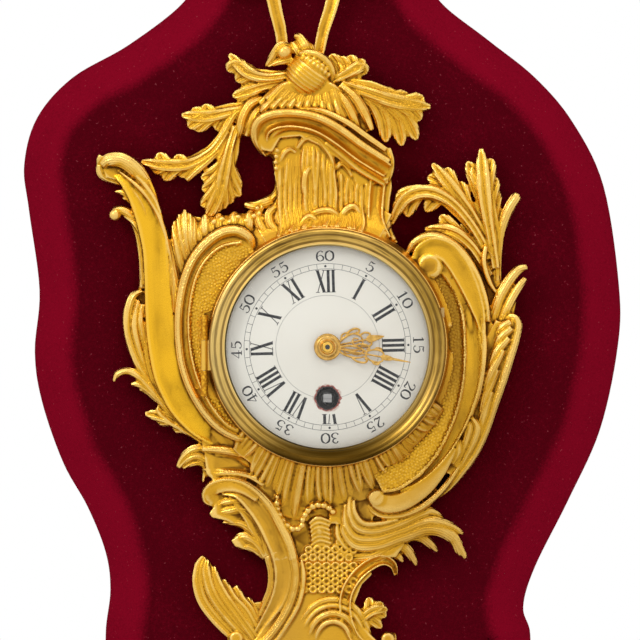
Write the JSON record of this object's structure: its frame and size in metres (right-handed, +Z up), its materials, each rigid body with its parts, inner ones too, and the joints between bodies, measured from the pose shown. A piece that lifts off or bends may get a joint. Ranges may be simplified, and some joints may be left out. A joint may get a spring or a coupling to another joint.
{
  "type": "wall clock",
  "caption": "Rococo cartel wall clock: gilt bronze scroll and leaf case on a velvet-covered shaped board, hinged glazed bezel, enamel dial, spring movement with key winding.",
  "frame": {"origin": "centre of the wall hanger's nail hole, in the plane of the wall", "axes": "+Z up, front of the clock faces -Y, +X to the viewer's right, +Y into the wall"},
  "size_m": [0.2527, 0.058, 0.3989],
  "materials": {
    "gilt_bronze": "gilt, matt grounds and burnished edges",
    "brass": "satin",
    "bezel_brass": "dull polished",
    "steel": "satin",
    "blued_steel": "blued",
    "copper": "satin",
    "board_wood": "raw",
    "velvet": "cut pile",
    "crystal": "polished",
    "enamel": "gloss"
  },
  "bodies": {
    "case": {"backing_board": "board_wood", "velvet_cover": "velvet", "wall_hanger": "brass", "hanger_screws": "steel", "case_casting": "gilt_bronze", "crest_casting": "gilt_bronze", "apron_casting": "gilt_bronze", "ribbon_bow": "gilt_bronze", "fixing_studs": "steel", "stud_washers": "steel", "stud_nuts": "steel", "hinge_leaf": "brass", "hinge_screws": "steel", "hinge_pin": "steel", "dial_plate": "brass", "dial_plate_screws": "steel", "dial": "enamel", "dial_feet": "copper", "dial_posts": "brass", "front_plate": "brass", "back_plate": "brass", "plate_pillars": "brass", "pillar_screws": "steel", "movement_drum": "brass", "rear_cover": "brass", "tie_rods": "steel", "click_screw": "steel", "click_spring": "blued_steel", "minute_post": "steel", "platform": "brass", "escape_bridge": "brass", "pallet_lever": "steel", "balance_cock": "brass", "cock_screws": "steel"},
    "bezel_door": {"bezel": "bezel_brass", "bezel_glass": "crystal", "glass_ring": "brass", "bezel_catch": "brass"},
    "minute": {"minute_hand": "gilt_bronze", "cannon_pinion": "steel", "hand_nut": "steel"},
    "hour": {"hour_hand": "gilt_bronze", "hour_wheel": "brass"},
    "motion": {"minute_wheel": "brass"},
    "winding": {"winding_arbor": "steel", "ratchet_wheel": "steel"},
    "click_pawl": {"click": "steel"},
    "barrel_drum": {"barrel": "brass", "barrel_cap": "brass", "mainspring": "blued_steel"},
    "intermediate": {"intermediate_wheel": "brass"},
    "centre": {"centre_wheel": "brass"},
    "third": {"third_wheel": "brass"},
    "fourth": {"fourth_wheel": "brass"},
    "escape": {"escape_wheel": "steel"},
    "balance": {"balance_wheel": "brass", "hairspring": "blued_steel"}
  },
  "joints": [
    {"name": "bezel_hinge", "type": "hinge", "parent": "case", "child": "bezel_door", "pos_m": [-0.0516, -0.0467, -0.1685], "axis": [0, 0, -1], "range_deg": [0, 100]},
    {"name": "minute_hand_turn", "type": "hinge", "parent": "case", "child": "minute", "pos_m": [0, -0.03, -0.165], "axis": [0, 1, 0], "continuous": true},
    {"name": "hour_hand_turn", "type": "hinge", "parent": "case", "child": "hour", "pos_m": [0, -0.03, -0.165], "axis": [0, 1, 0], "continuous": true},
    {"name": "motion_wheel_turn", "type": "hinge", "parent": "case", "child": "motion", "pos_m": [0.00831, -0.03, -0.1698], "axis": [0, 1, 0], "continuous": true},
    {"name": "winding_turn", "type": "hinge", "parent": "case", "child": "winding", "pos_m": [0, -0.03, -0.1864], "axis": [0, 1, 0], "continuous": true},
    {"name": "click_lift", "type": "hinge", "parent": "case", "child": "click_pawl", "pos_m": [0.0105, -0.03, -0.1914], "axis": [0, 1, 0], "range_deg": [0, 8], "stiffness_Nm_per_rad": 0.002},
    {"name": "fourth_wheel_turn", "type": "hinge", "parent": "case", "child": "fourth", "pos_m": [-0.00327, -0.03, -0.14856], "axis": [0, 1, 0], "continuous": true},
    {"name": "third_wheel_turn", "type": "hinge", "parent": "case", "child": "third", "pos_m": [0.0063, -0.03, -0.15409], "axis": [0, 1, 0], "continuous": true},
    {"name": "centre_wheel_turn", "type": "hinge", "parent": "case", "child": "centre", "pos_m": [0, -0.03, -0.165], "axis": [0, 1, 0], "continuous": true},
    {"name": "intermediate_wheel_turn", "type": "hinge", "parent": "case", "child": "intermediate", "pos_m": [-0.01005, -0.03, -0.17293], "axis": [0, 1, 0], "continuous": true},
    {"name": "barrel_turn", "type": "hinge", "parent": "case", "child": "barrel_drum", "pos_m": [0, -0.03, -0.1864], "axis": [0, 1, 0], "continuous": true},
    {"name": "escape_wheel_turn", "type": "hinge", "parent": "case", "child": "escape", "pos_m": [-0.00144, -0.03, -0.13816], "axis": [0, 1, 0], "continuous": true},
    {"name": "balance_swing", "type": "hinge", "parent": "case", "child": "balance", "pos_m": [-0.01177, -0.03, -0.14193], "axis": [0, 1, 0], "range_deg": [-150, 150], "stiffness_Nm_per_rad": 0.000002}
  ],
  "couplings": [
    {"joint": "hour_hand_turn", "follows": "minute_hand_turn", "ratio": 0.083333},
    {"joint": "motion_wheel_turn", "follows": "minute_hand_turn", "ratio": -0.33333},
    {"joint": "third_wheel_turn", "follows": "fourth_wheel_turn", "ratio": -0.13333},
    {"joint": "centre_wheel_turn", "follows": "fourth_wheel_turn", "ratio": 0.016667},
    {"joint": "intermediate_wheel_turn", "follows": "fourth_wheel_turn", "ratio": -0.0041667},
    {"joint": "barrel_turn", "follows": "fourth_wheel_turn", "ratio": 0.00069444},
    {"joint": "escape_wheel_turn", "follows": "fourth_wheel_turn", "ratio": -10}
  ]
}
